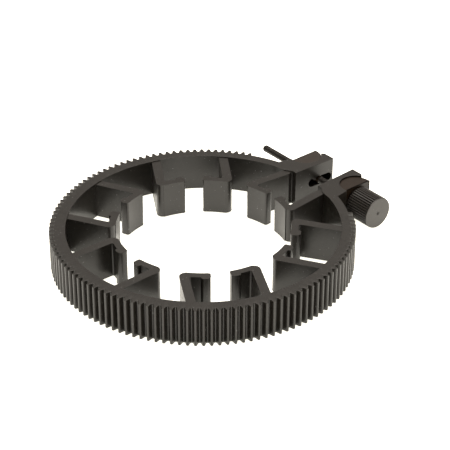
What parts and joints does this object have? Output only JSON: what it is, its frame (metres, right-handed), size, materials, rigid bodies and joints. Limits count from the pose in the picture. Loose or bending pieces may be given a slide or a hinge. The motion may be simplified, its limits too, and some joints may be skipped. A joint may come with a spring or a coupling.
{
  "type": "adjustable split gear ring",
  "caption": "Toothed split ring that clamps round a lens barrel on springy inward fingers, drawn closed by a knurled thumb screw between two pivoting barrels.",
  "frame": {"origin": "on the ring's axis at its lower face", "axes": "+Z along the ring's axis, +X towards the split and its clamp, -Y towards the knob"},
  "size_m": [0.1152, 0.1024, 0.0132],
  "materials": {
    "moulded_ring": "fine-textured black moulded nylon",
    "pivot_barrel": "brown-black machined acetal",
    "knob": "matte black, straight knurl",
    "screw": "black oxide steel"
  },
  "bodies": {
    "knob_half": {"gear_half_knob_side": "moulded_ring"},
    "nut_half": {"gear_half_nut_side": "moulded_ring"},
    "plain_barrel": {"plain_pivot_barrel": "pivot_barrel"},
    "threaded_barrel": {"threaded_pivot_barrel": "pivot_barrel"},
    "screw": {"clamp_screw": "screw", "thumb_knob": "knob"},
    "finger_01": {"grip_finger_01": "moulded_ring"},
    "finger_02": {"grip_finger_02": "moulded_ring"},
    "finger_03": {"grip_finger_03": "moulded_ring"},
    "finger_04": {"grip_finger_04": "moulded_ring"},
    "finger_05": {"grip_finger_05": "moulded_ring"},
    "finger_06": {"grip_finger_06": "moulded_ring"},
    "finger_07": {"grip_finger_07": "moulded_ring"},
    "finger_08": {"grip_finger_08": "moulded_ring"},
    "finger_09": {"grip_finger_09": "moulded_ring"},
    "finger_10": {"grip_finger_10": "moulded_ring"},
    "finger_11": {"grip_finger_11": "moulded_ring"},
    "finger_12": {"grip_finger_12": "moulded_ring"}
  },
  "joints": [
    {"name": "ring_close", "type": "hinge", "parent": "knob_half", "child": "nut_half", "pos_m": [-0.048, 0, 0.00662], "axis": [0, 0, -1], "range_deg": [-4.4, 2.2]},
    {"name": "plain_barrel_pivot", "type": "hinge", "parent": "knob_half", "child": "plain_barrel", "pos_m": [0.0579, -0.0133, 0.00662], "axis": [0, 0, -1], "range_deg": [-2.2, 1.1]},
    {"name": "threaded_barrel_pivot", "type": "hinge", "parent": "nut_half", "child": "threaded_barrel", "pos_m": [0.0579, 0.0133, 0.00662], "axis": [0, 0, 1], "range_deg": [-2.2, 1.1]},
    {"name": "screw_spin", "type": "hinge", "parent": "plain_barrel", "child": "screw", "pos_m": [0.0579, -0.0245, 0.00662], "axis": [0, 1, 0], "range_deg": [-6480, 3240]},
    {"name": "finger_01_flex", "type": "hinge", "parent": "nut_half", "child": "finger_01", "pos_m": [0.0456, 0.0088, 0.00662], "axis": [0, 0, -1], "range_deg": [0, 8], "stiffness_Nm_per_rad": 5},
    {"name": "finger_02_flex", "type": "hinge", "parent": "nut_half", "child": "finger_02", "pos_m": [0.03403, 0.03108, 0.00662], "axis": [0, 0, 1], "range_deg": [0, 8], "stiffness_Nm_per_rad": 5},
    {"name": "finger_03_flex", "type": "hinge", "parent": "nut_half", "child": "finger_03", "pos_m": [0.01379, 0.04398, 0.00662], "axis": [0, 0, -1], "range_deg": [0, 8], "stiffness_Nm_per_rad": 5},
    {"name": "finger_04_flex", "type": "hinge", "parent": "nut_half", "child": "finger_04", "pos_m": [-0.01084, 0.0448, 0.00662], "axis": [0, 0, 1], "range_deg": [0, 8], "stiffness_Nm_per_rad": 5},
    {"name": "finger_05_flex", "type": "hinge", "parent": "nut_half", "child": "finger_05", "pos_m": [-0.0319, 0.03327, 0.00662], "axis": [0, 0, -1], "range_deg": [0, 8], "stiffness_Nm_per_rad": 5},
    {"name": "finger_06_flex", "type": "hinge", "parent": "nut_half", "child": "finger_06", "pos_m": [-0.0445, 0.012, 0.00662], "axis": [0, 0, 1], "range_deg": [0, 8], "stiffness_Nm_per_rad": 5},
    {"name": "finger_07_flex", "type": "hinge", "parent": "knob_half", "child": "finger_07", "pos_m": [-0.0445, -0.012, 0.00662], "axis": [0, 0, -1], "range_deg": [0, 8], "stiffness_Nm_per_rad": 5},
    {"name": "finger_08_flex", "type": "hinge", "parent": "knob_half", "child": "finger_08", "pos_m": [-0.0319, -0.03327, 0.00662], "axis": [0, 0, 1], "range_deg": [0, 8], "stiffness_Nm_per_rad": 5},
    {"name": "finger_09_flex", "type": "hinge", "parent": "knob_half", "child": "finger_09", "pos_m": [-0.01084, -0.0448, 0.00662], "axis": [0, 0, -1], "range_deg": [0, 8], "stiffness_Nm_per_rad": 5},
    {"name": "finger_10_flex", "type": "hinge", "parent": "knob_half", "child": "finger_10", "pos_m": [0.01379, -0.04398, 0.00662], "axis": [0, 0, 1], "range_deg": [0, 8], "stiffness_Nm_per_rad": 5},
    {"name": "finger_11_flex", "type": "hinge", "parent": "knob_half", "child": "finger_11", "pos_m": [0.03403, -0.03108, 0.00662], "axis": [0, 0, -1], "range_deg": [0, 8], "stiffness_Nm_per_rad": 5},
    {"name": "finger_12_flex", "type": "hinge", "parent": "knob_half", "child": "finger_12", "pos_m": [0.0456, -0.0088, 0.00662], "axis": [0, 0, 1], "range_deg": [0, 8], "stiffness_Nm_per_rad": 5}
  ],
  "couplings": [
    {"joint": "ring_close", "follows": "screw_spin", "ratio": 0.0006763},
    {"joint": "plain_barrel_pivot", "follows": "screw_spin", "ratio": 0.00033815},
    {"joint": "threaded_barrel_pivot", "follows": "screw_spin", "ratio": 0.00033815}
  ]
}
